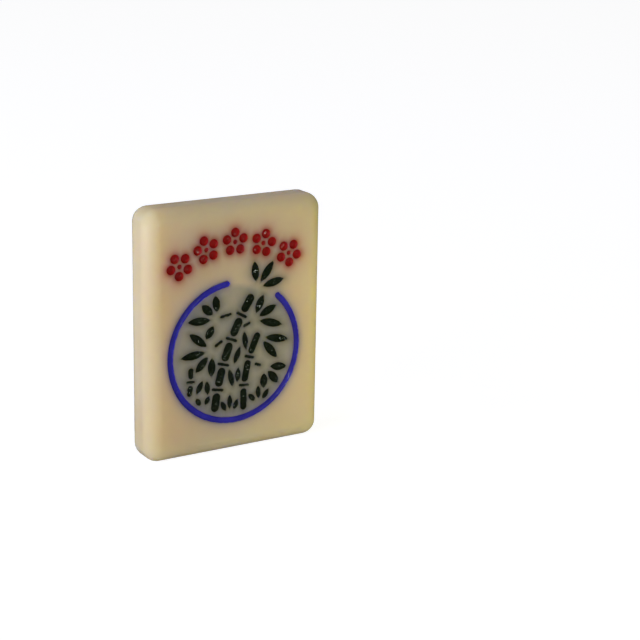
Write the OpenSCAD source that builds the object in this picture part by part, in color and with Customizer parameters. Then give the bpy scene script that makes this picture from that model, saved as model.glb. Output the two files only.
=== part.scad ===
// Mahjong tile: a solid moulded blank with round-bottomed engraving on its front
// face, and the enamel fills that have set in the cuts.
// The tile stands on its lower end: X is its width, Y its thickness with the
// engraved face toward -Y, and Z its height. The origin is the middle of the foot.

/* [Blank] */
// Height of the tile
tile_h = 30; // [29.5:0.5:34]
// Width of the tile
tile_w = 23; // [22:0.5:26]
// Thickness of the tile
tile_d = 5.2; // [4.8:0.1:13]
// Radius of every edge and corner after polishing
edge_r = 1.8; // [0.8:0.1:2.0]

/* [Ring] */
// Radius of the open ring, at the middle of its stroke
ring_r = 8.35; // [8.3:0.05:8.5]
// Width of the ring's stroke
ring_stroke = 0.72; // [0.5:0.02:0.8]
// Height of the ring's centre above the foot
ring_z = 12.35; // [12:0.05:12.8]
// Sideways place of the ring's centre
ring_x = -0.35; // [-0.5:0.05:0.5]
// Direction of the ring's end right of its opening, degrees above +X
opening_from = 47; // [44:1:50]
// Direction of the ring's end left of its opening, degrees above +X
opening_to = 97; // [90:1:100]

/* [Enamel] */
// How far the enamel has sunk below the face
enamel_drop = 0.1; // [0.04:0.01:0.12]

/* [Crest] */
// Distance of the blossoms from the ring's centre
crest_r = 13.15; // [13:0.05:13.2]
// Angle between one blossom and the next, degrees
crest_pitch = 16.4; // [16:0.1:17]
// Radius of one petal's ball-cut dimple
petal_r = 0.54; // [0.4:0.02:0.56]
// Distance of a petal's middle from the blossom's middle
petal_ring = 1.12; // [1.1:0.01:1.16]
// Radius of the dimple in the middle of a blossom
heart_r = 0.27; // [0.2:0.01:0.3]

/* [Bamboo] */
// Stroke width of the tall culm
tall_stroke = 1.02; // [0.7:0.02:1.04]
// Stroke width of the slim culm
slim_stroke = 0.84; // [0.6:0.02:0.86]
// Stroke width of the young culm
young_stroke = 0.66; // [0.5:0.02:0.68]
// Stroke width of the short bars between two lengths of a culm
joint_stroke = 0.36; // [0.26:0.02:0.38]
// Stroke width of the twigs
twig_stroke = 0.36; // [0.26:0.02:0.4]
// Width of a bamboo leaf at its middle
leaf_w = 0.96; // [0.7:0.02:0.98]
// Width of a narrow leaf between the culms
narrow_w = 0.7; // [0.5:0.02:0.72]
// Width of a blade of grass at its middle
grass_w = 0.64; // [0.44:0.02:0.66]

/* [Hidden] */
$fn = 48;

ivory = "#E3D3AE";
ring_blue = "#2A2790";
crest_red = "#8A1E1A";
bamboo_green = "#1E2A18";

// Size of the flat part of each face, between the rounded edges
flat_w = tile_w - 2 * edge_r;
flat_d = tile_d - 2 * edge_r;
flat_h = tile_h - 2 * edge_r;
// Signs of the four corners of a rectangle, counter-clockwise from +X +Y
CORNERS = [[1, 1], [-1, 1], [-1, -1], [1, -1]];
// Width of the pit at each end of a bent stroke, per stroke width
end_swell = 1.04;
// Sides of the large circle that a leaf's outline is a short piece of
bow_fn = 192;
// Thickness of the block that keeps only what lies below the enamel's surface
below_face = 1;

BLOSSOMS = 5;
PETALS = 5;

// A culm: [centre x, centre y of its bow, radius of the bow, direction of its foot and
// of its tip from that centre, number of lengths, gap between the stroke ends' middles]
TALL_CULM = [27.2, -10.15, 30, 173.0, 147.0, 5, 1.84];
SLIM_CULM = [17.5, -5.9, 16.3, 183.6, 153.0, 3, 1.66];
YOUNG_CULM = [-20.0, -1.9, 14.3, -9.5, 1.6, 2, 1.46];
// How far a joint bar reaches past the middle of its culm, per culm stroke width
joint_reach = 0.62;

// Twigs: [x, y of one end, x, y of the other]
TWIGS = [
    [-0.55, 4.62, -1.75, 4.42], [-1.75, 1.5, -2.45, 1.05],
    [1.3, 2.95, 1.95, 3.2], [2.85, -1.95, 3.45, -2.15]
];

// Leaf sprays: [x, y of the point they spring from, clear start of each leaf,
// directions of the leaves, lengths of the leaves]
LEAVES_TOP = [2.9, 7.3, 0.8, [12, 54, 96], [2.9, 3.0, 2.5]];
LEAVES_UPPER_LEFT = [-2.2, 4.2, 0.94, [97, 137, 178, 234], [1.95, 1.9, 3.0, 1.7]];
LEAVES_LEFT = [-2.95, 0.55, 0.9, [141, 186, 228, 268], [2.9, 3.2, 2.3, 2.3]];
LEAVES_UPPER_RIGHT = [2.5, 3.55, 0.84, [66, 25, -16], [2.3, 2.5, 3.2]];
LEAVES_RIGHT = [3.3, 1.35, 0.8, [-12, -50], [3.3, 3.0]];
LEAVES_LOWER_RIGHT = [3.95, -2.4, 0.88, [-8, -49, -90], [2.2, 2.15, 1.8]];
LEAVES_LOWER_LEFT = [-3.75, -2.05, 1.0, [243, 275], [1.7, 1.7]];
// Single leaves between the two taller culms, written as the leaf sprays are
LEAVES_BETWEEN = [
    [0.75, 0.55, 0, [248], [2.2]], [1.25, 2.3, 0, [277], [2.3]],
    [-0.72, -2.05, 0, [283], [2.3]], [0.52, -2.0, 0, [265], [1.8]]
];
// Tufts of grass at the feet of the culms, written as the leaf sprays are
GRASS = [
    [-0.62, -8.15, 1.18, [64, 90, 116], [1.35, 1.8, 1.35]],
    [3.3, -7.0, 0.72, [52, 93, 134], [1.5, 1.6, 1.3]],
    [-4.2, -6.5, 0.7, [60, 118], [1.1, 1.0]]
];

function on_circle(r, a) = [r * cos(a), r * sin(a)];
// Radius of the arc that bulges by half of w over a chord of length l
function bow_r(l, w) = (l * l / 4 + w * w / 4) / w;

// ---- cuts, drawn in the plane of the face: x across, y up, z out of the tile ----

// Puts cuts drawn round the ring's centre onto the front face
module on_face() {
    translate([ring_x, -tile_d / 2, ring_z]) rotate([90, 0, 0]) children();
}

// Arc-shaped stroke of a ball cutter round the local origin, from direction a0 to a1.
// The cutter dwells at both ends, where its pit is a little wider than the stroke.
module bent_stroke(r, a0, a1, w) {
    rotate([0, 0, a0]) rotate_extrude(angle = a1 - a0) translate([r, 0]) circle(d = w);
    for (a = [a0, a1]) translate(on_circle(r, a)) sphere(d = w * end_swell);
}

// Straight stroke of a ball cutter between two points
module straight_stroke(from, to, w) {
    run = to - from;
    len = norm(run);
    translate([from[0], from[1], 0]) rotate([0, 0, atan2(run[1], run[0])]) rotate([0, 90, 0])
        rotate_extrude() {
            square([w / 2, len]);
            intersection() {
                circle(d = w);
                translate([0, -w]) square(w);
            }
            translate([0, len]) intersection() {
                circle(d = w);
                square(w);
            }
        }
}

// Lens-shaped cut of a graver rocked in and out along direction a
module leaf_stroke(start, a, len, w) {
    translate([start[0], start[1], 0]) rotate([0, 0, a]) rotate([0, 90, 0])
        rotate_extrude() intersection() {
            translate([w / 2 - bow_r(len, w), len / 2]) circle(r = bow_r(len, w), $fn = bow_fn);
            translate([0, -len / 2]) square([w, 2 * len]);
        }
}

module ring_cut() {
    bent_stroke(ring_r, opening_to, 360 + opening_from, ring_stroke);
}

// Blossom number i of the crest: five petal dimples round a small one
module blossom_cut(i) {
    lean = (BLOSSOMS - 1) / 2 * crest_pitch - i * crest_pitch;
    rotate([0, 0, lean]) translate([0, crest_r, 0]) {
        sphere(r = heart_r);
        for (k = [0 : PETALS - 1])
            rotate([0, 0, k * 360 / PETALS]) translate([0, petal_ring, 0]) sphere(r = petal_r);
    }
}

// Angle taken by one length of a culm, with the sign of its growth
function culm_turn(c) = c[4] > c[3] ? 1 : -1;
function culm_gap(c) = c[6] / c[2] * 180 / PI;
function culm_length(c) = (abs(c[4] - c[3]) - (c[5] - 1) * culm_gap(c)) / c[5];
function culm_from(c, i) = c[3] + culm_turn(c) * i * (culm_length(c) + culm_gap(c));

// The separate lengths of a culm, straight between its joints
module culm_cut(c, w) {
    translate([c[0], c[1], 0]) for (i = [0 : c[5] - 1]) {
        from = culm_from(c, i);
        to = from + culm_turn(c) * culm_length(c);
        straight_stroke(on_circle(c[2], from), on_circle(c[2], to), w);
    }
}

// The short bars across the gaps of a culm
module joint_cut(c, w) {
    translate([c[0], c[1], 0]) for (i = [1 : c[5] - 1]) {
        middle = culm_from(c, i) - culm_turn(c) * culm_gap(c) / 2;
        inner = on_circle(c[2] - joint_reach * w, middle);
        outer = on_circle(c[2] + joint_reach * w, middle);
        straight_stroke(inner, outer, joint_stroke);
    }
}

module joints_cut() {
    joint_cut(TALL_CULM, tall_stroke);
    joint_cut(SLIM_CULM, slim_stroke);
    joint_cut(YOUNG_CULM, young_stroke);
}

module twigs_cut() {
    for (t = TWIGS) straight_stroke([t[0], t[1]], [t[2], t[3]], twig_stroke);
}

// The leaves of one spray, each starting clear of the others
module spray_cut(s, w) {
    for (i = [0 : len(s[3]) - 1])
        leaf_stroke([s[0], s[1]] + on_circle(s[2], s[3][i]), s[3][i], s[4][i], w);
}

// Several sprays of one leaf width
module sprays_cut(sprays, w) {
    for (s = sprays) spray_cut(s, w);
}

module all_cuts() {
    ring_cut();
    for (i = [0 : BLOSSOMS - 1]) blossom_cut(i);
    culm_cut(TALL_CULM, tall_stroke);
    culm_cut(SLIM_CULM, slim_stroke);
    culm_cut(YOUNG_CULM, young_stroke);
    joints_cut();
    twigs_cut();
    spray_cut(LEAVES_TOP, leaf_w);
    spray_cut(LEAVES_UPPER_LEFT, leaf_w);
    spray_cut(LEAVES_LEFT, leaf_w);
    spray_cut(LEAVES_UPPER_RIGHT, leaf_w);
    spray_cut(LEAVES_RIGHT, leaf_w);
    spray_cut(LEAVES_LOWER_RIGHT, leaf_w);
    spray_cut(LEAVES_LOWER_LEFT, narrow_w);
    sprays_cut(LEAVES_BETWEEN, narrow_w);
    sprays_cut(GRASS, grass_w);
}

// ---- the blank ----

// Four quarter-round bars along Z, for the edges of a block 2a by 2b by len
module four_edges(a, b, len) {
    for (q = [0 : 3])
        translate([CORNERS[q][0] * a, CORNERS[q][1] * b, -len / 2]) rotate([0, 0, 90 * q])
            rotate_extrude(angle = 90) square([edge_r, len]);
}

// The four rounded corners of the upper end, for the same block
module four_corners(a, b, c) {
    for (q = [0 : 3])
        translate([CORNERS[q][0] * a, CORNERS[q][1] * b, c]) rotate([0, 0, 90 * q])
            rotate_extrude(angle = 90) intersection() {
                circle(r = edge_r);
                square(edge_r);
            }
}

// Block with every edge and corner rounded, standing on the origin
module blank() {
    translate([0, 0, tile_h / 2]) {
        cube([tile_w, flat_d, flat_h], center = true);
        cube([flat_w, tile_d, flat_h], center = true);
        cube([flat_w, flat_d, tile_h], center = true);
        four_edges(flat_w / 2, flat_d / 2, flat_h);
        rotate([90, 0, 0]) four_edges(flat_w / 2, flat_h / 2, flat_d);
        rotate([0, 90, 0]) four_edges(flat_h / 2, flat_d / 2, flat_w);
        four_corners(flat_w / 2, flat_d / 2, flat_h / 2);
        rotate([180, 0, 0]) four_corners(flat_w / 2, flat_d / 2, flat_h / 2);
    }
}

// ---- the pieces ----

module tile_body() {
    color(ivory) difference() {
        blank();
        on_face() all_cuts();
    }
}

// What has set in a cut: the cut's own shape, up to the enamel's sunken surface
module enamel(shade) {
    color(shade) intersection() {
        on_face() children();
        translate([-tile_w / 2, enamel_drop - tile_d / 2, 0]) cube([tile_w, below_face, tile_h]);
    }
}

module enamel_ring() { enamel(ring_blue) ring_cut(); }
module enamel_blossom(i) { enamel(crest_red) blossom_cut(i); }
module enamel_culm(c, w) { enamel(bamboo_green) culm_cut(c, w); }
module enamel_culm_joints() { enamel(bamboo_green) joints_cut(); }
module enamel_twigs() { enamel(bamboo_green) twigs_cut(); }
module enamel_leaves(s, w) { enamel(bamboo_green) spray_cut(s, w); }
module enamel_sprays(sprays, w) { enamel(bamboo_green) sprays_cut(sprays, w); }

tile_body();
enamel_ring();
enamel_blossom(0);  // enamel_blossom_1
enamel_blossom(1);  // enamel_blossom_2
enamel_blossom(2);  // enamel_blossom_3
enamel_blossom(3);  // enamel_blossom_4
enamel_blossom(4);  // enamel_blossom_5
enamel_culm(TALL_CULM, tall_stroke);  // enamel_culm_tall
enamel_culm(SLIM_CULM, slim_stroke);  // enamel_culm_slim
enamel_culm(YOUNG_CULM, young_stroke);  // enamel_culm_young
enamel_culm_joints();
enamel_twigs();
enamel_leaves(LEAVES_TOP, leaf_w);  // enamel_leaves_top
enamel_leaves(LEAVES_UPPER_LEFT, leaf_w);  // enamel_leaves_upper_left
enamel_leaves(LEAVES_LEFT, leaf_w);  // enamel_leaves_left
enamel_leaves(LEAVES_UPPER_RIGHT, leaf_w);  // enamel_leaves_upper_right
enamel_leaves(LEAVES_RIGHT, leaf_w);  // enamel_leaves_right
enamel_leaves(LEAVES_LOWER_RIGHT, leaf_w);  // enamel_leaves_lower_right
enamel_leaves(LEAVES_LOWER_LEFT, narrow_w);  // enamel_leaves_lower_left
enamel_sprays(LEAVES_BETWEEN, narrow_w);  // enamel_leaves_between
enamel_sprays(GRASS, grass_w);  // enamel_grass
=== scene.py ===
import bmesh
import bpy
import numpy as np
from mathutils import Matrix, Vector


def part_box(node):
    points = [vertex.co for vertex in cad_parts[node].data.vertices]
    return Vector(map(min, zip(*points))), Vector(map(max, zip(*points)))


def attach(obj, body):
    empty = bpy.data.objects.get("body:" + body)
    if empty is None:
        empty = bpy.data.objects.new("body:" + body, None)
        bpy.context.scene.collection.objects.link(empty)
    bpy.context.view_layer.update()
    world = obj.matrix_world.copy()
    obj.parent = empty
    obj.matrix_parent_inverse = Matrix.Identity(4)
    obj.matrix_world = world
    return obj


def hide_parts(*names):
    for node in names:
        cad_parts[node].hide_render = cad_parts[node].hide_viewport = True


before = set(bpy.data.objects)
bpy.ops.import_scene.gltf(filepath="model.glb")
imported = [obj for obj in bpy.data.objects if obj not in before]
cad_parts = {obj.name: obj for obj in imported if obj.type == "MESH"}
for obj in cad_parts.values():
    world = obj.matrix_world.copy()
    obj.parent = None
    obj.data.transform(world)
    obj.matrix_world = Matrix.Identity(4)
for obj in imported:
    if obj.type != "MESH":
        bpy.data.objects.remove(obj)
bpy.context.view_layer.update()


# ---------------------------------------------------------------------------------------
# The blank. One solid piece of ivory-coloured urea plastic, moulded, then tumbled and
# polished until its edges are round. A small ball cutter on a pantograph engraves its
# face, and each cut is as deep as it is half wide, so its section is half a circle.
# ---------------------------------------------------------------------------------------

# The cuts, in millimetres round the middle of the open ring: straight and bowed runs,
# plunged dots, and leaves cut by rocking the tool in and out
MM = 0.001
RING_MIDDLE = np.array([-0.35, 12.35])      # on the face, from the middle of the foot
RING_R, RING_STROKE = 8.35, 0.72
OPENING = (47.0, 97.0)                      # directions of the ring's two ends, degrees

CREST_R, CREST_PITCH, BLOSSOMS = 13.15, 16.4, 5
PETALS, PETAL_R, PETAL_RING, HEART_R = 5, 0.54, 1.12, 0.27

TALL_STROKE, SLIM_STROKE, YOUNG_STROKE = 1.02, 0.84, 0.66
JOINT_STROKE, JOINT_REACH, TWIG_STROKE = 0.36, 0.62, 0.36
LEAF_W, NARROW_W, GRASS_W = 0.96, 0.7, 0.64


def aim(degrees):
    """Unit vector in that direction: cosine and sine."""
    turn = np.radians(degrees)
    return np.array([np.cos(turn), np.sin(turn)])


def run(start, end, width):
    """A straight run of the ball cutter. Its spine is the line from start to end, and its
    half-width is constant; a dot is a run with no length."""
    return dict(start=np.array(start, float), end=np.array(end, float), half=width / 2)


def bow(radius, turn_from, turn_to, width):
    """A bowed run round the ring's middle: its spine is the arc between two directions."""
    return dict(radius=radius, turns=np.radians([turn_from, turn_to]), half=width / 2)


def leaf(start, direction, length, width):
    """A lens-shaped cut: its half-width follows a circle's arc over the leaf's length,
    nothing at the tips and half the width in the middle."""
    start = np.array(start, float)
    return dict(start=start, end=start + length * aim(direction), half=width / 2, lens=True)


def culm(middle, radius, foot, tip, lengths, gap, width):
    """The straight lengths of one culm and the bars across its joints. The lengths'
    ends lie on an arc, and the arc left after the gaps is shared out evenly."""
    middle, turn = np.array(middle), np.sign(tip - foot)
    skip = np.degrees(gap / radius)
    step = (abs(tip - foot) - (lengths - 1) * skip) / lengths
    froms = foot + turn * np.arange(lengths) * (step + skip)
    canes = [run(middle + radius * aim(a), middle + radius * aim(a + turn * step), width)
             for a in froms]
    reach = JOINT_REACH * width
    bars = [run(middle + (radius - reach) * aim(a), middle + (radius + reach) * aim(a), JOINT_STROKE)
            for a in froms[1:] - turn * skip / 2]
    return canes, bars


def spray(x, z, clear, directions, lengths, width=LEAF_W):
    """Leaves that spring from one point, each starting a little way out from it."""
    return [leaf(np.array([x, z]) + clear * aim(a), a, length, width)
            for a, length in zip(directions, lengths)]


def blossom(number):
    """Five round petals about a small heart, leaning with the crest's arc."""
    lean = 90 + ((BLOSSOMS - 1) / 2 - number) * CREST_PITCH
    heart = CREST_R * aim(lean)
    petals = [heart + PETAL_RING * aim(lean + 360 / PETALS * k) for k in range(PETALS)]
    return [run(heart, heart, 2 * HEART_R)] + [run(p, p, 2 * PETAL_R) for p in petals]


tall, tall_bars = culm((27.2, -10.15), 30, 173.0, 147.0, 5, 1.84, TALL_STROKE)
slim, slim_bars = culm((17.5, -5.9), 16.3, 183.6, 153.0, 3, 1.66, SLIM_STROKE)
young, young_bars = culm((-20.0, -1.9), 14.3, -9.5, 1.6, 2, 1.46, YOUNG_STROKE)

cuts = {"enamel_ring": [bow(RING_R, OPENING[1], 360 + OPENING[0], RING_STROKE)]}
for number in range(BLOSSOMS):
    cuts[f"enamel_blossom_{number + 1}"] = blossom(number)
cuts.update({
    "enamel_culm_tall": tall,
    "enamel_culm_slim": slim,
    "enamel_culm_young": young,
    "enamel_culm_joints": tall_bars + slim_bars + young_bars,
    "enamel_twigs": [run(a, b, TWIG_STROKE) for a, b in (
        ((-0.55, 4.62), (-1.75, 4.42)), ((-1.75, 1.5), (-2.45, 1.05)),
        ((1.3, 2.95), (1.95, 3.2)), ((2.85, -1.95), (3.45, -2.15)))],
    "enamel_leaves_top": spray(2.9, 7.3, 0.8, (12, 54, 96), (2.9, 3.0, 2.5)),
    "enamel_leaves_upper_left": spray(-2.2, 4.2, 0.94, (97, 137, 178, 234), (1.95, 1.9, 3.0, 1.7)),
    "enamel_leaves_left": spray(-2.95, 0.55, 0.9, (141, 186, 228, 268), (2.9, 3.2, 2.3, 2.3)),
    "enamel_leaves_upper_right": spray(2.5, 3.55, 0.84, (66, 25, -16), (2.3, 2.5, 3.2)),
    "enamel_leaves_right": spray(3.3, 1.35, 0.8, (-12, -50), (3.3, 3.0)),
    "enamel_leaves_lower_right": spray(3.95, -2.4, 0.88, (-8, -49, -90), (2.2, 2.15, 1.8)),
    "enamel_leaves_lower_left": spray(-3.75, -2.05, 1.0, (243, 275), (1.7, 1.7), NARROW_W),
    "enamel_leaves_between": spray(0.75, 0.55, 0, (248,), (2.2,), NARROW_W)
    + spray(1.25, 2.3, 0, (277,), (2.3,), NARROW_W)
    + spray(-0.72, -2.05, 0, (283,), (2.3,), NARROW_W)
    + spray(0.52, -2.0, 0, (265,), (1.8,), NARROW_W),
    "enamel_grass": spray(-0.62, -8.15, 1.18, (64, 90, 116), (1.35, 1.8, 1.35), GRASS_W)
    + spray(3.3, -7.0, 0.72, (52, 93, 134), (1.5, 1.6, 1.3), GRASS_W)
    + spray(-4.2, -6.5, 0.7, (60, 118), (1.1, 1.0), GRASS_W),
})


def spine(cut, along):
    """Points, headings and half-widths of a cut's spine, for along from 0 to 1. A line runs
    evenly from start to end, an arc evenly between its directions; a lens's half-width is a
    circle's height above its chord."""
    if "radius" in cut:
        turn = cut["turns"][0] + along * (cut["turns"][1] - cut["turns"][0])
        points = cut["radius"] * np.stack([np.cos(turn), np.sin(turn)], -1)
        return points, turn + np.pi / 2, np.full(along.shape, cut["half"])
    way = cut["end"] - cut["start"]
    points = cut["start"] + along[..., None] * way
    heading = np.full(along.shape, np.arctan2(way[1], way[0]))
    if "lens" not in cut:
        return points, heading, np.full(along.shape, cut["half"])
    chord, half = np.linalg.norm(way), cut["half"]
    circle = (chord ** 2 / 4 + half ** 2) / (2 * half)
    height = np.sqrt(circle ** 2 - (chord * (along - 0.5)) ** 2) - (circle - half)
    return points, heading, np.maximum(height, 0.0)


def nearest(cut, x, z):
    """The spine point nearest to each place, and the half-width there: the place's angle or
    its share of the line, held between the cut's two ends."""
    if "radius" in cut:
        first, last = cut["turns"]
        middle = (first + last) / 2
        off = (np.arctan2(z, x) - middle + np.pi) % (2 * np.pi) - np.pi
        along = np.clip((middle + off - first) / (last - first), 0, 1)
    else:
        way = cut["end"] - cut["start"]
        length = max(way @ way, 1e-12)
        along = ((x - cut["start"][0]) * way[0] + (z - cut["start"][1]) * way[1]) / length
        along = np.clip(along, 0, 1)
    points, _, half = spine(cut, along)
    return points, half


# The block, in millimetres, and the steps of its mesh
low, high = (np.array(corner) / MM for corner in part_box("tile_body"))
HALF = (high - low) / 2                     # half width, half thickness, half height
EDGE_R = 1.8
FACE_Y = low[1]
CELL = 0.09                                 # grid step on the engraved face
COARSER = 4                                 # how many times wider the steps are on the back
ROUND_STEPS = 12                            # steps in an eighth turn of the rounded edges
SIDE_STEPS = 8                              # the same, seen from the sides
SNAP, SNAP_FROM = 0.55, 0.3                 # how far grid places move onto a cut's edge, and
                                            # how wide a cut they move to, in grid steps
LIP_W, LIP_DROP = 0.14, 0.018               # the cuts' edges, softened by the last polish
BLEED_REACH = np.array([0.5, 0.6, 0.35])           # how far the painted red, green and blue tint and shade reach
RING_SHADE_FADE = 0.8                             # how far inside the ring the painted shade fades in
NEAR_FACE = 1.0                             # how far behind the face the painted tint and shade still reach


def edge_steps(flat, across, rounds):
    """Coordinates along one side of the block: even steps over the flat part, and in the
    rounded parts the tangents of even angles up to an eighth of a turn."""
    bend = EDGE_R * np.tan(np.linspace(0, np.pi / 4, rounds + 1))[1:]
    return np.concatenate([-flat - bend[::-1], np.linspace(-flat, flat, across + 1), flat + bend])


def rounded(points):
    """A point of the plain block is drawn in to the block that is smaller by the edge
    radius, and pushed out again by that radius: faces stay flat, edges become quarter
    rounds and corners become parts of a ball."""
    core = np.clip(points, EDGE_R - HALF, HALF - EDGE_R)
    out = points - core
    return core + EDGE_R * out / np.linalg.norm(out, axis=-1, keepdims=True)


def sheet_faces(index):
    """The quads of a grid of vertex numbers, as rows of four."""
    return np.stack([index[:-1, :-1], index[1:, :-1], index[1:, 1:], index[:-1, 1:]], -1).reshape(-1, 4)


def tray(xs, ys, zs, face_y):
    """Half of the block's skin: the face at face_y, and the four sides from it over the
    steps ys. Returns points, the face's vertex grid, the sides' quads and the rim's numbers
    in order round the block."""
    x, z = np.meshgrid(xs, zs, indexing="ij")
    points = [np.stack([x, np.full_like(x, face_y), z], -1).reshape(-1, 3)]
    grid = np.arange(x.size).reshape(x.shape)
    left, right = np.full(len(zs) - 1, xs[0]), np.full(len(zs) - 1, xs[-1])
    lower, upper = np.full(len(xs) - 1, zs[0]), np.full(len(xs) - 1, zs[-1])
    round_x = np.concatenate([xs[:-1], right, xs[:0:-1], left])
    round_z = np.concatenate([lower, zs[:-1], upper, zs[:0:-1]])
    border = np.concatenate([grid[:-1, 0], grid[-1, :-1], grid[:0:-1, -1], grid[0, :0:-1]])
    x, y = np.meshgrid(round_x, ys, indexing="ij")
    z = np.broadcast_to(round_z[:, None], x.shape)
    points.append(np.stack([x, y, z], -1).reshape(-1, 3))
    wall = np.column_stack([border, grid.size + np.arange(x.size).reshape(x.shape)])
    quads = sheet_faces(np.vstack([wall, wall[:1]]))
    return rounded(np.vstack(points)), grid, quads, wall[:, -1]


def cut_face(x, z):
    """What the engraving does to places on the face: each place within about half a grid
    step of a cut's edge moves onto that edge, and each place inside a cut sinks by the height of a
    half circle over the cut's width. Also gives the gap from each place to its cut, and to
    the nearest cut of each enamel."""
    x, z = x - RING_MIDDLE[0], z - RING_MIDDLE[1]
    gap, reach = np.full(x.shape, 99.0), np.zeros(x.shape)
    foot = np.zeros(x.shape + (2,))
    colours = {"blossom": 0, "ring": 2}
    near = np.full(x.shape + (3,), 99.0)
    for name, group in cuts.items():
        colour = next((k for word, k in colours.items() if word in name), 1)
        for cut in group:
            points, half = nearest(cut, x, z)
            away = np.hypot(x - points[..., 0], z - points[..., 1]) - half
            closer = away < gap
            gap = np.where(closer, away, gap)
            reach = np.where(closer, half, reach)
            foot = np.where(closer[..., None], points, foot)
            near[..., colour] = np.minimum(near[..., colour], away)
    offset = np.stack([x, z], -1) - foot
    length = np.maximum(np.linalg.norm(offset, axis=-1), 1e-9)
    snap = (np.abs(gap) < SNAP * CELL) & (reach > SNAP_FROM * CELL)
    stretch = np.where(snap, reach / length, 1.0)
    offset = offset * stretch[..., None]
    length = length * stretch
    gap = np.where(snap, 0.0, gap)
    depth = np.sqrt(np.maximum(reach ** 2 - length ** 2, 0.0))
    lip = LIP_DROP * np.clip(1 - gap / LIP_W, 0, 1) ** 2
    depth = np.where(gap < 0, np.maximum(depth, LIP_DROP), lip)
    x, z = foot[..., 0] + offset[..., 0], foot[..., 1] + offset[..., 1]
    return x + RING_MIDDLE[0], z + RING_MIDDLE[1], depth, gap, near


def face_triangles(grid, gap):
    """Two triangles for each cell of the engraved face, split along the diagonal whose ends
    lie nearest to the edge of a cut, so that the edge runs along triangle sides."""
    a, b, c, d = grid[:-1, :-1], grid[1:, :-1], grid[1:, 1:], grid[:-1, 1:]
    off = np.abs(gap)
    split_ac = (off[:-1, :-1] + off[1:, 1:] <= off[1:, :-1] + off[:-1, 1:])[..., None]
    first = np.where(split_ac, np.stack([a, b, c], -1), np.stack([a, b, d], -1))
    second = np.where(split_ac, np.stack([a, c, d], -1), np.stack([b, c, d], -1))
    return np.concatenate([first.reshape(-1, 3), second.reshape(-1, 3)])


def finished_mesh(name, points, faces, smooth_to=35, turn_outwards=True):
    """Puts points in millimetres and their faces into a mesh at the origin, merges what
    coincides, turns the faces outwards unless they already point so, and smooths all but
    the sharp edges."""
    mesh = bpy.data.meshes.new(name)
    mesh.from_pydata(points * MM, [], faces)
    work = bmesh.new()
    work.from_mesh(mesh)
    bmesh.ops.remove_doubles(work, verts=work.verts, dist=2e-4 * MM)
    if turn_outwards:
        bmesh.ops.recalc_face_normals(work, faces=work.faces)
    work.to_mesh(mesh)
    work.free()
    mesh.polygons.foreach_set("use_smooth", np.ones(len(mesh.polygons), bool))
    mesh.set_sharp_from_angle(angle=np.radians(smooth_to))
    piece = bpy.data.objects.new(name, mesh)
    bpy.context.scene.collection.objects.link(piece)
    return piece


flat = HALF - EDGE_R
fine = [COARSER * round(2 * flat[axis] / CELL / COARSER) for axis in (0, 2)]
BAND = 0.12                                 # where the fine half meets the coarse half
bend_in = EDGE_R * np.tan(np.linspace(np.pi / 4, 0, SIDE_STEPS + 1))[1:]
front_ys = np.append(-flat[1] - bend_in, -BAND)
back_ys = np.append(flat[1] + bend_in, BAND)
front = tray(edge_steps(flat[0], fine[0], ROUND_STEPS), front_ys,
             edge_steps(flat[2], fine[1], ROUND_STEPS), -HALF[1])
back = tray(edge_steps(flat[0], fine[0] // COARSER, ROUND_STEPS // COARSER), back_ys,
            edge_steps(flat[2], fine[1] // COARSER, ROUND_STEPS // COARSER), HALF[1])
skin, face_grid, front_quads, front_rim = front
skin[:, 2] += HALF[2]
on_face = face_grid.reshape(-1)
new_x, new_z, depth, gap, _ = cut_face(skin[on_face, 0], skin[on_face, 2])
flat_part = ((np.abs(skin[on_face, 0]) < flat[0] - CELL)
             & (np.abs(skin[on_face, 2] - HALF[2]) < flat[2] - CELL))
skin[on_face, 0] = np.where(flat_part, new_x, skin[on_face, 0])
skin[on_face, 2] = np.where(flat_part, new_z, skin[on_face, 2])
skin[on_face, 1] += np.where(flat_part, depth, 0.0)
triangles = face_triangles(face_grid, gap.reshape(face_grid.shape))

back_points, back_grid, back_quads, back_rim = back
back_points[:, 2] += HALF[2]
shift = len(skin)
seam = np.arange(len(back_rim))
fine_run = (seam[:, None] * COARSER + np.arange(COARSER + 1)) % len(front_rim)
strip = np.column_stack([front_rim[fine_run], shift + np.roll(back_rim, -1), shift + back_rim])
blank = finished_mesh(
    "tile_blank", np.vstack([skin, back_points]),
    triangles.tolist() + front_quads.tolist() + strip.tolist()
    + (back_quads + shift).tolist() + (sheet_faces(back_grid) + shift).tolist())

# Painted tint and shade: how strongly the skin at each place is coloured and darkened by
# light passing through the nearby red, green and blue enamel, falling off exponentially
# with the gap; and the painted shade inside the ring
places = np.empty(len(blank.data.vertices) * 3, np.float32)
blank.data.vertices.foreach_get("co", places)
places = places.reshape(-1, 3) / MM
near = cut_face(places[:, 0], places[:, 2])[4]
tint = np.exp(-np.maximum(near, 0) / BLEED_REACH)
inside = RING_R - np.hypot(places[:, 0] - RING_MIDDLE[0], places[:, 2] - RING_MIDDLE[1])
ring_shade = np.clip(inside / RING_SHADE_FADE, 0, 1)
tint = np.column_stack([tint, ring_shade]) * (places[:, 1:2] < FACE_Y + NEAR_FACE)
bleed_attribute = blank.data.attributes.new("painted_enamel_bleed", "FLOAT_COLOR", "POINT")
bleed_attribute.data.foreach_set("color", tint.astype(np.float32).ravel())


def paint(code):
    """Linear colour of an sRGB hex code such as "#E3D3AE"."""
    share = np.array([int(code[i:i + 2], 16) for i in (1, 3, 5)]) / 255
    linear = np.where(share <= 0.04045, share / 12.92, ((share + 0.055) / 1.055) ** 2.4)
    return (*linear, 1.0)


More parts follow.
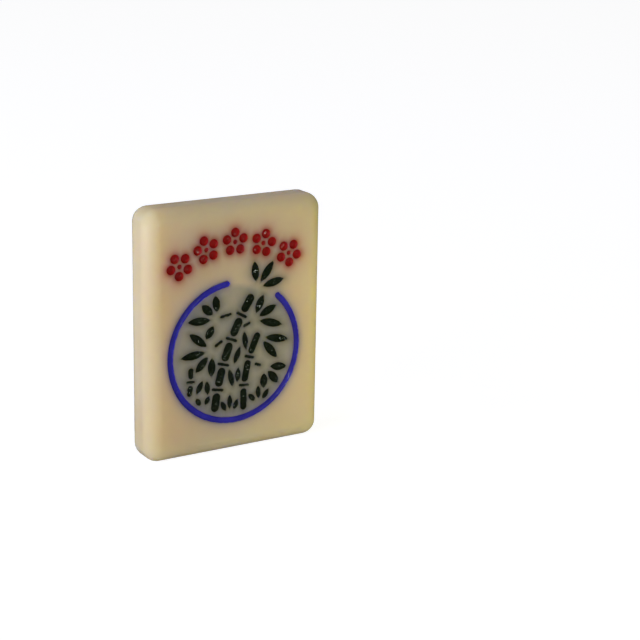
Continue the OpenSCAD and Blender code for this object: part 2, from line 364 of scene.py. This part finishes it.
def add(owner, kind, settings=None, **inputs):
    """Adds one node to a material or the world. settings are its properties; inputs are
    values or the sockets that feed it, by name with _ for a space, or _ and a number."""
    node = owner.node_tree.nodes.new(kind)
    for key, value in (settings or {}).items():
        setattr(node, key, value)
    for key, value in inputs.items():
        number = key[1:].isdigit()
        socket = node.inputs[int(key[1:]) if number else key.replace("_", " ")]
        if isinstance(value, bpy.types.NodeSocket):
            owner.node_tree.links.new(value, socket)
        else:
            socket.default_value = value
    return node


def new_material(name):
    """An empty node material with its output, and its one shader."""
    material = bpy.data.materials.new(name)
    material.use_nodes = True
    material.node_tree.nodes.clear()
    shader = add(material, "ShaderNodeBsdfPrincipled")
    add(material, "ShaderNodeOutputMaterial", Surface=shader.outputs["BSDF"])
    return material, shader


# Urea plastic: moulded and buffed, it is glossy but not mirror-like. Light goes a little
# way into it, so it looks waxy; its filler makes a faint cloudiness, and long soft waves
# from the buffing wheel bend its highlights.
ivory, shader = new_material("polished_ivory_urea")
place = add(ivory, "ShaderNodeTexCoord").outputs["Object"]
clouds = add(ivory, "ShaderNodeTexNoise", Vector=place, Scale=1 / (9 * MM), Detail=3.0, Roughness=0.55)
cloudy = add(ivory, "ShaderNodeMix", {"data_type": "RGBA"}, _0=clouds.outputs["Fac"],
             _6=paint("#DEC495"), _7=paint("#ECD5AB"))
bleed_node = add(ivory, "ShaderNodeAttribute", {"attribute_name": "painted_enamel_bleed"})
parts = add(ivory, "ShaderNodeSeparateColor", Color=bleed_node.outputs["Color"]).outputs
streaks = add(ivory, "ShaderNodeTexNoise", Vector=place, Scale=1 / (1.6 * MM), Detail=3.0)
ring_shade_amount = add(ivory, "ShaderNodeMapRange", Value=streaks.outputs["Fac"], To_Min=0.2, To_Max=0.5)
colour = cloudy.outputs[2]
# Painted tint and shade: near each enamel the plastic is mixed towards its colour, as if light had
# passed through the enamel; inside the ring it is mixed towards a streaky grey-teal painted shade
painted_tints = (
    (bleed_node.outputs["Alpha"], ring_shade_amount.outputs[0], "#46707A"),      # painted shade inside the ring
    (parts["Green"], 0.5, "#384634"),
    (parts["Blue"], 0.45, "#5A5A96"),
    (parts["Red"], 0.8, "#C44A38"))
for part, amount, code in painted_tints:
    share = add(ivory, "ShaderNodeMath", {"operation": "MULTIPLY"}, _0=part, _1=amount)
    colour = add(ivory, "ShaderNodeMix", {"data_type": "RGBA"}, _0=share.outputs[0],
                 _6=colour, _7=paint(code)).outputs[2]
ivory.node_tree.links.new(colour, shader.inputs["Base Color"])
smudges = add(ivory, "ShaderNodeTexNoise", Vector=place, Scale=1 / (5 * MM), Detail=4.0)
gloss = add(ivory, "ShaderNodeMapRange", Value=smudges.outputs["Fac"], To_Min=0.14, To_Max=0.24)
ivory.node_tree.links.new(gloss.outputs[0], shader.inputs["Roughness"])
waves = add(ivory, "ShaderNodeTexNoise", Vector=place, Scale=1 / (2.5 * MM), Detail=1.0)
fine_waves = add(ivory, "ShaderNodeTexNoise", Vector=place, Scale=1 / (0.35 * MM), Detail=2.0)
height = add(ivory, "ShaderNodeMath", {"operation": "MULTIPLY_ADD"}, _0=fine_waves.outputs["Fac"],
             _1=0.08, _2=waves.outputs["Fac"])
bump = add(ivory, "ShaderNodeBump", Height=height.outputs[0], Strength=0.5, Distance=0.012 * MM)
ivory.node_tree.links.new(bump.outputs[0], shader.inputs["Normal"])
shader.inputs["IOR"].default_value = 1.55
shader.inputs["Subsurface Weight"].default_value = 1.0
shader.inputs["Subsurface Radius"].default_value = (1.0, 0.8, 0.3)
shader.inputs["Subsurface Scale"].default_value = 7.0 * MM
blank.data.materials.append(ivory)
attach(blank, "root")
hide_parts("tile_body")


# ---------------------------------------------------------------------------------------
# The ring. Glossy blue enamel, flowed into its groove and wiped level; as it dried it
# sank in the middle of the stroke and stayed up along the walls.
# ---------------------------------------------------------------------------------------

WALL_DROP, SAG = 0.006, 0.28                # depth of the enamel at the wall, and its sag
WALL_SHARE, SAG_SHARE = 0.2, 0.5            # the most of a cut's half-width that they take
WAVE = 0.08                                 # height of each wave, as a share of the sag
SWELL = 0.01                                # overlap with the blank, so that no gap shows
ALONG_STEP, CAP_STEPS, LENS_STEPS = 0.12, 14, 12
ACROSS = np.array([0.0, 0.3, 0.5, 0.65, 0.77, 0.86, 0.93, 0.97])


def outline(cut):
    """Once round a cut: shares along its spine and directions away from it. Out along one
    side, round the far end, back along the other side, and round the near end. A lens has
    no ends to go round."""
    if "radius" in cut:
        length = cut["radius"] * np.ptp(cut["turns"])
    else:
        length = np.linalg.norm(cut["end"] - cut["start"])
    steps = max(int(round(length / ALONG_STEP)), LENS_STEPS if "lens" in cut else 1)
    along = np.linspace(0, 1, steps + 1)
    if "lens" in cut:
        along = (1 - np.cos(np.pi * along)) / 2
        ends = np.zeros(0)
    else:
        ends = np.linspace(0, np.pi, CAP_STEPS + 1)[1:-1]
    quarter = np.pi / 2
    shares = [along, np.ones(len(ends)), along[::-1], np.zeros(len(ends))]
    sides = [np.full(len(along), -quarter), ends - quarter,
             np.full(len(along), quarter), ends + quarter]
    return np.concatenate(shares), np.concatenate(sides)


def fill(cut):
    """The enamel in one cut: lines from its spine out to its wall, all round the outline.
    The upper sheet hangs between the walls by one less the fourth power of the distance
    from the spine, with slow uneven waves. The lower sheet is the cut's own half circle."""
    along, side = outline(cut)
    foot, heading, half = spine(cut, along)
    out = np.stack([np.cos(heading + side), np.sin(heading + side)], -1)
    wall = np.minimum(WALL_DROP, WALL_SHARE * half)
    edge = np.sqrt(np.maximum(1 - (wall / np.maximum(half, 1e-6)) ** 2, 0))
    upper = ACROSS[None] * edge[:, None]
    share = np.concatenate([upper, edge[:, None], upper[:, ::-1]], 1)
    spot = foot[:, None] + (share * (half + SWELL)[:, None])[..., None] * out[:, None]
    x, z = spot[..., 0] + RING_MIDDLE[0], spot[..., 1] + RING_MIDDLE[1]
    waves = (np.sin(7.1 * x + 2.3 * z) + np.sin(5.3 * z - 3.7 * x + 1.0)
             + np.sin(11.7 * x - 9.1 * z + 2.0))
    sag = np.minimum(SAG, SAG_SHARE * half)[:, None]
    top = wall[:, None] + sag * (1 + WAVE * waves) * (1 - share ** 4)
    bottom = half[:, None] * np.sqrt(np.maximum(1 - share ** 2, 0)) + SWELL * (1 - share ** 2)
    last_top = len(ACROSS)
    depth = np.where(np.arange(share.shape[1]) <= last_top, top, bottom)
    points = np.stack([x, FACE_Y + depth, z], -1)
    index = np.arange(share.size).reshape(share.shape)
    inwards = sheet_faces(np.vstack([index, index[:1]]))
    return points.reshape(-1, 3), inwards[:, ::-1]


def enamel_piece(name, material):
    """All fills of one named group of cuts as one piece, in place of its CAD node."""
    points, faces, count = [], [], 0
    for cut in cuts[name]:
        some, quads = fill(cut)
        points.append(some)
        faces.append(quads + count)
        count += len(some)
    piece = finished_mesh(name + "_fill", np.vstack(points), np.vstack(faces).tolist(),
                          smooth_to=60, turn_outwards=False)
    piece.data.materials.append(material)
    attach(piece, "root")
    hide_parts(name)
    return piece


def enamel_paint(name, dark, light, roughness, lumps):
    """Air-dried alkyd enamel: a hard gloss over a thick coat of pigment. Its colour drifts
    between dark and light over about 2 mm, and ripples about half a millimetre wide and
    lumps high bend its gloss."""
    material, shader = new_material(name)
    place = add(material, "ShaderNodeTexCoord").outputs["Object"]
    pigment = add(material, "ShaderNodeTexNoise", Vector=place, Scale=1 / (2.2 * MM), Detail=5.0)
    colour = add(material, "ShaderNodeMix", {"data_type": "RGBA"}, _0=pigment.outputs["Fac"],
                 _6=paint(dark), _7=paint(light))
    ripples = add(material, "ShaderNodeTexNoise", Vector=place, Scale=1 / (0.55 * MM), Detail=2.0)
    bump = add(material, "ShaderNodeBump", Height=ripples.outputs["Fac"], Strength=1.0,
               Distance=lumps * MM)
    material.node_tree.links.new(colour.outputs[2], shader.inputs["Base Color"])
    material.node_tree.links.new(bump.outputs[0], shader.inputs["Normal"])
    shader.inputs["Roughness"].default_value = roughness
    shader.inputs["IOR"].default_value = 1.5
    return material


blue = enamel_paint("blue_enamel", "#1C1878", "#423CC0", 0.14, 0.06)
enamel_piece("enamel_ring", blue)


# ---------------------------------------------------------------------------------------
# The crest. Five blossoms of dark red enamel. Each petal is a round dimple that the ball
# cutter plunged, filled by brush and wiped level.
# ---------------------------------------------------------------------------------------

red = enamel_paint("red_enamel", "#880A06", "#B8140C", 0.14, 0.1)
for number in range(BLOSSOMS):
    enamel_piece(f"enamel_blossom_{number + 1}", red)


# ---------------------------------------------------------------------------------------
# The bamboo. Near-black green enamel in the culms, joints, twigs, leaves and grass, put
# on thickly, so that its ripples catch small lights.
# ---------------------------------------------------------------------------------------

green = enamel_paint("green_enamel", "#080D02", "#18240A", 0.06, 0.3)
for name in cuts:
    if name != "enamel_ring" and "blossom" not in name:
        enamel_piece(name, green)


# ---------------------------------------------------------------------------------------
# The studio. The tile stands on white paper, lit by a broad soft box at its left and a
# small lamp ahead, which puts the glints on the enamel. Bright paper lies on the floor at
# the left, and a small warm card stands close to the right edge.
# ---------------------------------------------------------------------------------------


def backdrop_white(owner, light, mirrored):
    """How bright a backdrop is to each kind of ray: white to the camera and through clear
    things, mirrored in reflections, and light as what falls on the object."""
    rays = add(owner, "ShaderNodeLightPath").outputs
    clear = add(owner, "ShaderNodeMath", {"operation": "MAXIMUM"},
                _0=rays["Is Camera Ray"], _1=rays["Is Transmission Ray"])
    dim = add(owner, "ShaderNodeMix", _0=rays["Is Glossy Ray"], _2=light, _3=mirrored)
    return add(owner, "ShaderNodeMath", {"operation": "MAXIMUM"},
               _0=dim.outputs[0], _1=clear.outputs[0]).outputs[0]


FLOOR = 6.0
floor_mesh = bpy.data.meshes.new("floor")
floor_mesh.from_pydata([(-FLOOR, -FLOOR, 0), (FLOOR, -FLOOR, 0),
                        (FLOOR, FLOOR, 0), (-FLOOR, FLOOR, 0)], [], [(0, 1, 2, 3)])
floor = bpy.data.objects.new("floor", floor_mesh)
bpy.context.scene.collection.objects.link(floor)
# Uncoated paper, matt. To the camera it is mostly its own white, and the rest of it takes
# the tile's shadow
paper, shader = new_material("white_paper")
glow = add(paper, "ShaderNodeMath", {"operation": "MULTIPLY"},
           _0=backdrop_white(paper, 0.0, 0.04), _1=0.92)
paper.node_tree.links.new(glow.outputs[0], shader.inputs["Emission Strength"])
rays = add(paper, "ShaderNodeLightPath").outputs
dull = add(paper, "ShaderNodeMath", {"operation": "MULTIPLY_ADD"},
           _0=rays["Is Camera Ray"], _1=0.8, _2=rays["Is Glossy Ray"])
shade = add(paper, "ShaderNodeMapRange", Value=dull.outputs[0], To_Min=0.9, To_Max=0.1)
paper.node_tree.links.new(shade.outputs[0], shader.inputs["Base Color"])
shader.inputs["Emission Color"].default_value = (1, 1, 1, 1)
shader.inputs["Roughness"].default_value = 0.9
shader.inputs["Specular IOR Level"].default_value = 0.0
floor_mesh.materials.append(paper)


def soft_light(name, place, aim_at, size, power, tint="#FFFFFF", mirrored=True):
    """A soft box at place, facing aim_at. size is its width and its height, and mirrored
    says whether glossy surfaces reflect it."""
    lamp = bpy.data.lights.new(name, "AREA")
    lamp.shape, lamp.size, lamp.size_y = "RECTANGLE", *size
    lamp.energy, lamp.color = power, paint(tint)[:3]
    holder = bpy.data.objects.new(name, lamp)
    way = Vector(aim_at) - Vector(place)
    holder.matrix_world = Matrix.Translation(place) @ way.to_track_quat("-Z", "Y").to_matrix().to_4x4()
    holder.visible_camera = False
    holder.visible_glossy = mirrored
    bpy.context.scene.collection.objects.link(holder)


MIDDLE = (0, 0, 0.015)
soft_light("left_box", (-0.58, -0.11, 0.20), MIDDLE, (0.50, 0.70), 5.6, "#DCE0FF", mirrored=False)
soft_light("front_box", (0.03, -0.80, 0.09), MIDDLE, (0.06, 0.06), 0.8, "#F4FFF0")
soft_light("edge_paper", (-0.13, -0.002, 0.002), (-0.13, -0.0019, 1.0), (0.05, 0.10), 0.048, "#C8DCFF")
soft_light("side_paper", (-0.05, 0.06, 0.001), (-0.05, 0.0601, 1.0), (0.07, 0.09), 0.0075, "#F4FFFA")
soft_light("card", (0.026, -0.016, 0.015), (0.009, -0.0026, 0.015), (0.024, 0.024), 0.0023,
           "#FFF8A4", mirrored=False)
world = bpy.data.worlds.new("studio")
world.use_nodes = True
sky = world.node_tree.nodes["Background"]
sky.inputs["Color"].default_value = (1, 1, 1, 1)
# Reflections find the white screen behind the tile and the dark room in front of it
way = add(world, "ShaderNodeTexCoord").outputs["Generated"]
behind = add(world, "ShaderNodeSeparateXYZ", Vector=way).outputs["Y"]
screen = add(world, "ShaderNodeMapRange", Value=behind, From_Min=-0.4, From_Max=0.5,
             To_Min=0.03, To_Max=0.34)
world.node_tree.links.new(backdrop_white(world, 0.1, screen.outputs[0]), sky.inputs["Strength"])
bpy.context.scene.world = world

# The photograph's camera, in the tile's frame: where it stood, its heading, its dip below
# the level, its small tilt, and its lens over a 36 mm frame
camera = bpy.data.cameras.new("photo_camera")
camera.sensor_width = 36
camera.lens = 94.16
CAMERA_PLACE = (-0.09005, -0.16546, 0.07156)
HEADING, DIP, TILT = -31.88, 16.54, 1.21
holder = bpy.data.objects.new("photo_camera", camera)
holder.matrix_world = (Matrix.Translation(CAMERA_PLACE)
                       @ Matrix.Rotation(np.radians(HEADING), 4, "Z")
                       @ Matrix.Rotation(np.radians(90 - DIP), 4, "X")
                       @ Matrix.Rotation(np.radians(TILT), 4, "Z"))
bpy.context.scene.collection.objects.link(holder)
bpy.context.scene.camera = holder
bpy.context.scene.view_settings.view_transform = "Standard"
